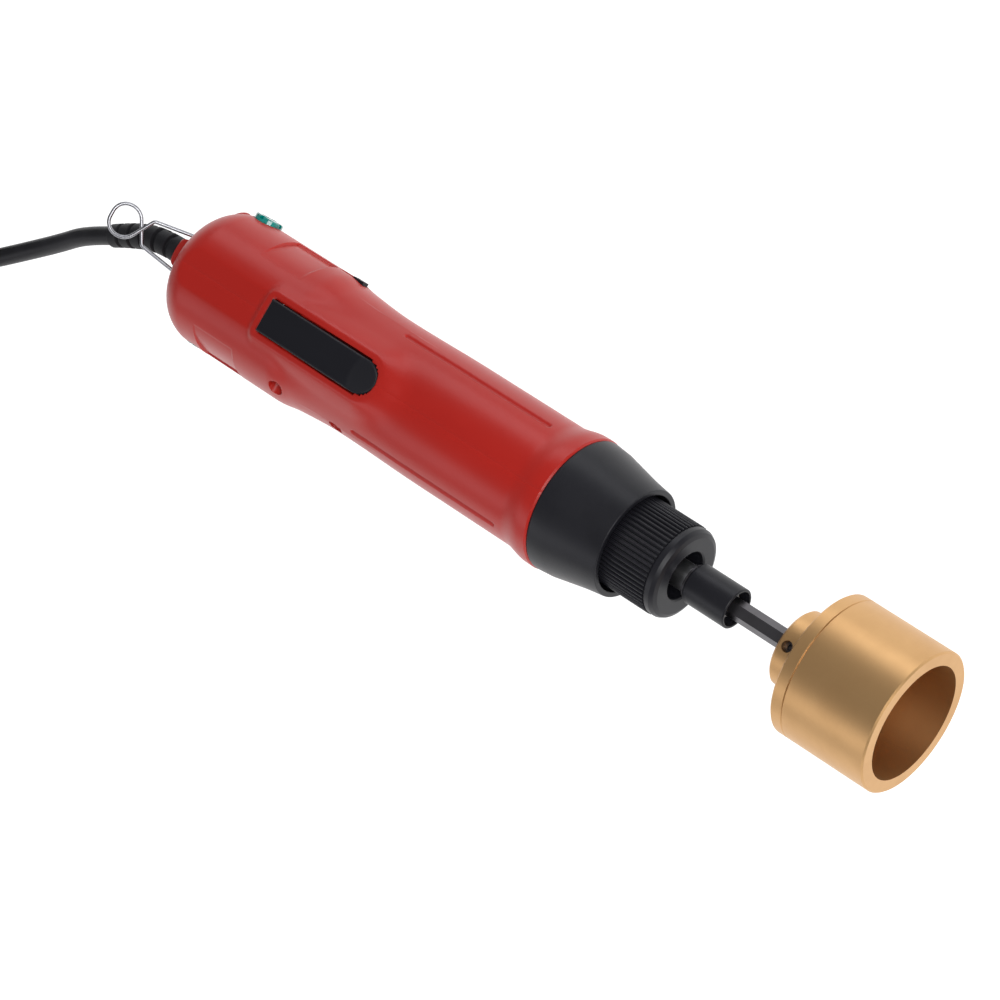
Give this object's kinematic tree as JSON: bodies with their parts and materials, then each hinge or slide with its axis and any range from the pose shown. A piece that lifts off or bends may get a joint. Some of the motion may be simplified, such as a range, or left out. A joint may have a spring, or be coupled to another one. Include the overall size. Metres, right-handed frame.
{
  "type": "electric capping machine",
  "caption": "Hand-held electric screw-capping machine: round handle with a lever trigger, adjustable torque clutch and quick-release hex chuck driving an open metal capping cup.",
  "frame": {"origin": "centre of the capping cup's mouth, on the drive axis", "axes": "+X along the drive axis out of the cup, +Z from the axis to the trigger, +Y to the left side of the handle"},
  "size_m": [0.546, 0.1172, 0.053],
  "materials": {
    "red_shell": "semi-gloss moulded shell",
    "black_trigger": "satin black moulding",
    "black_anodised": "satin black anodised",
    "gold_anodised": "satin gold anodised",
    "dark_steel": "dark hardened steel",
    "bright_steel": "ground steel",
    "spring_steel": "drawn spring wire",
    "bail_chrome": "plated wire",
    "zinc_can": "zinc plated",
    "magnet": "ferrite",
    "copper": "copper",
    "brass": "turned brass",
    "carbon": "carbon graphite",
    "green_cap": "translucent teal green",
    "black_nylon": "black nylon",
    "board_green": "solder mask",
    "black_rubber": "soft black",
    "cord_pvc": "soft black jacket"
  },
  "bodies": {
    "handle": {"board_components": "black_nylon", "brush_cap_left": "green_cap", "brush_cap_right": "green_cap", "brush_holders": "brass", "brush_springs": "spring_steel", "carbon_brushes": "carbon", "clutch_balls": "bright_steel", "clutch_spring": "spring_steel", "clutch_washer": "bright_steel", "cone_screws": "dark_steel", "control_board": "board_green", "cord": "cord_pvc", "cord_coil": "cord_pvc", "cord_tail": "cord_pvc", "end_bell": "black_nylon", "gear_plate": "bright_steel", "handle_left": "red_shell", "handle_right": "red_shell", "housing_screws": "dark_steel", "microswitch": "black_nylon", "motor_bearings": "bright_steel", "motor_can": "zinc_can", "motor_magnets": "magnet", "nose_cone": "black_anodised", "nose_tube": "bright_steel", "plug_body": "cord_pvc", "plug_pins": "brass", "reverse_switch": "black_nylon", "ring_gear": "bright_steel", "sleeve_spring": "spring_steel", "spindle_bearings": "bright_steel", "strain_relief": "black_rubber", "trigger_pin": "bright_steel", "trigger_spring": "spring_steel"},
    "spindle": {"capping_cup": "gold_anodised", "grub_screws": "dark_steel", "hex_shank": "dark_steel", "output_spindle": "bright_steel", "retaining_clips": "dark_steel", "detent_ball": "bright_steel", "planet_carrier": "bright_steel", "planet_pins": "bright_steel"},
    "rotor": {"motor_shaft": "bright_steel", "armature_core": "bright_steel", "armature_windings": "copper", "commutator": "copper", "cooling_fan": "black_nylon", "sun_gear": "bright_steel"},
    "chuck_sleeve": {"chuck_sleeve": "black_anodised"},
    "torque_ring": {"torque_ring": "black_anodised"},
    "spring_seat": {"spring_seat": "bright_steel"},
    "trigger": {"trigger": "black_trigger"},
    "switch_lever": {"switch_lever": "bright_steel"},
    "reverse_knob": {"reverse_knob": "black_trigger"},
    "hanging_bail": {"hanging_bail": "bail_chrome"},
    "planet_gear_1": {"planet_gear_1": "bright_steel"},
    "planet_gear_2": {"planet_gear_2": "bright_steel"},
    "planet_gear_3": {"planet_gear_3": "bright_steel"}
  },
  "joints": [
    {"name": "spindle_spin", "type": "hinge", "parent": "handle", "child": "spindle", "pos_m": [0, 0, 0], "axis": [1, 0, 0], "continuous": true},
    {"name": "motor_spin", "type": "hinge", "parent": "handle", "child": "rotor", "pos_m": [0, 0, 0], "axis": [1, 0, 0], "continuous": true},
    {"name": "chuck_sleeve_slide", "type": "slide", "parent": "spindle", "child": "chuck_sleeve", "axis": [1, 0, 0], "range_m": [0, 0.0035], "stiffness_N_per_m": 800, "springref_m": -0.002, "deforming": ["sleeve_spring"]},
    {"name": "spring_seat_slide", "type": "slide", "parent": "handle", "child": "spring_seat", "axis": [1, 0, 0], "range_m": [-0.003, 0], "deforming": ["clutch_spring"]},
    {"name": "torque_ring_turn", "type": "hinge", "parent": "spring_seat", "child": "torque_ring", "pos_m": [0, 0, 0], "axis": [1, 0, 0], "range_deg": [0, 540]},
    {"name": "trigger_press", "type": "hinge", "parent": "handle", "child": "trigger", "pos_m": [-0.2716, 0, 0.0232], "axis": [0, 1, 0], "range_deg": [0, 3.5], "stiffness_Nm_per_rad": 1.2, "springref_deg": -4.58, "deforming": ["trigger_spring"]},
    {"name": "switch_lever_press", "type": "hinge", "parent": "handle", "child": "switch_lever", "pos_m": [-0.2268, 0, 0.0189], "axis": [0, 1, 0], "range_deg": [-14, 0]},
    {"name": "reverse_knob_slide", "type": "slide", "parent": "handle", "child": "reverse_knob", "axis": [1, 0, 0], "range_m": [-0.006, 0]},
    {"name": "bail_swing", "type": "hinge", "parent": "handle", "child": "hanging_bail", "pos_m": [-0.3335, 0, 0.001], "axis": [0, 1, 0], "range_deg": [0, 70]},
    {"name": "planet_spin_1", "type": "hinge", "parent": "spindle", "child": "planet_gear_1", "pos_m": [-0.2143, 0.0105, 0], "axis": [1, 0, 0], "continuous": true},
    {"name": "planet_spin_2", "type": "hinge", "parent": "spindle", "child": "planet_gear_2", "pos_m": [-0.2143, -0.00525, 0.00909], "axis": [1, 0, 0], "continuous": true},
    {"name": "planet_spin_3", "type": "hinge", "parent": "spindle", "child": "planet_gear_3", "pos_m": [-0.2143, -0.00525, -0.00909], "axis": [1, 0, 0], "continuous": true}
  ],
  "couplings": [
    {"joint": "motor_spin", "follows": "spindle_spin", "ratio": 5},
    {"joint": "torque_ring_turn", "follows": "spring_seat_slide", "rad_per_m": -3141.6},
    {"joint": "switch_lever_press", "follows": "trigger_press", "ratio": -3.4},
    {"joint": "planet_spin_1", "follows": "spindle_spin", "ratio": -2.6667},
    {"joint": "planet_spin_2", "follows": "spindle_spin", "ratio": -2.6667},
    {"joint": "planet_spin_3", "follows": "spindle_spin", "ratio": -2.6667}
  ]
}
